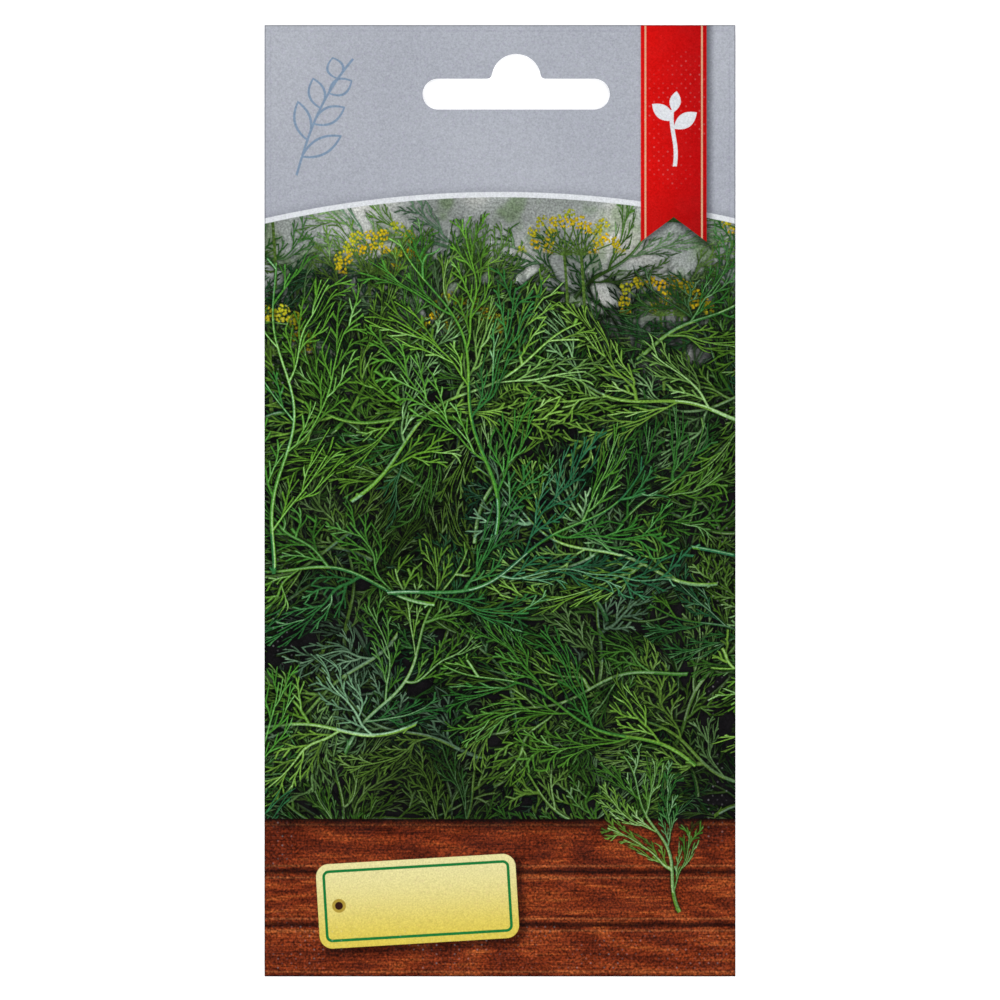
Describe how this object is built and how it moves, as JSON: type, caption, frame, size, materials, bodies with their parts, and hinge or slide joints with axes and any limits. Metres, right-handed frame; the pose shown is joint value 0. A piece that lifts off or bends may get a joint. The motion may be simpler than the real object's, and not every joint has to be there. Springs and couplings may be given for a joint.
{
  "type": "seed packet",
  "caption": "Flat printed film seed packet with a punched hang slot, heat-sealed all round a pocket that holds loose dill seeds.",
  "frame": {"origin": "under the middle of the packet, on the surface that its back lies on", "axes": "+Z out of the packet's front, +Y towards the end with the hang slot, +X to the right of the front"},
  "size_m": [0.08, 0.1616, 0.0028],
  "materials": {
    "front_print": "satin laminated film, printed",
    "back_print": "satin laminated film, printed",
    "seed": "dry, ribbed"
  },
  "bodies": {
    "root": {"front_film": "front_print", "back_film": "back_print", "seeds": "seed"}
  },
  "joints": []
}
